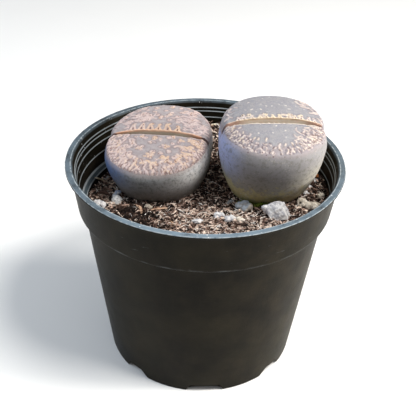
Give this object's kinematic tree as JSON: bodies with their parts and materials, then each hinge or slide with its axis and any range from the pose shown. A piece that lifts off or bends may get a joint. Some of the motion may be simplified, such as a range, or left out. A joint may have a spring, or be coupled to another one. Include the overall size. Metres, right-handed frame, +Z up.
{
  "type": "potted lithops",
  "caption": "Lithops leaf pairs, with fissured and patterned faces, standing in rough peat and pumice grit in a round black nursery pot with a deep collar and a slotted foot.",
  "frame": {"origin": "on the pot's axis, level with the foot ring that it stands on", "axes": "+Z up along the pot's axis, -Y toward the viewer of the picture, +X to the viewer's right"},
  "size_m": [0.1, 0.1, 0.1002],
  "materials": {
    "pot_plastic": "matte black moulded plastic, dusty at the rim",
    "peat_soil": "dry peat and coir, dark brown with pale fibres",
    "leaf_patterned": "waxy skin, pinkish marks over grey",
    "leaf_windowed": "waxy skin, grey window with a pale patterned border",
    "white_pumice": "dull, finely pitted",
    "grey_pumice": "dull, finely pitted",
    "beige_pumice": "dull, finely pitted",
    "pale_fibre": "dry pale fibre",
    "red_chip": "dry reddish husk",
    "orange_bark": "dry orange bark"
  },
  "bodies": {
    "root": {"pot": "pot_plastic", "soil": "peat_soil", "lithops_left": "leaf_patterned", "lithops_right": "leaf_windowed", "pumice_white": "white_pumice", "pumice_grey": "grey_pumice", "pumice_beige": "beige_pumice", "pumice_left": "grey_pumice", "pumice_rim": "white_pumice", "perlite_front_a": "white_pumice", "perlite_front_b": "white_pumice", "perlite_front_c": "beige_pumice", "perlite_front_d": "white_pumice", "grain_beige": "beige_pumice", "grain_right_a": "white_pumice", "grain_right_b": "white_pumice", "grain_right_c": "white_pumice", "grain_slate": "grey_pumice", "grain_left_a": "white_pumice", "grain_left_b": "white_pumice", "pebble_beige": "beige_pumice", "twig_pale": "pale_fibre", "fibre_back": "pale_fibre", "chip_red_a": "red_chip", "chip_red_b": "red_chip", "chip_tan": "pale_fibre", "bark_orange": "orange_bark"}
  },
  "joints": []
}
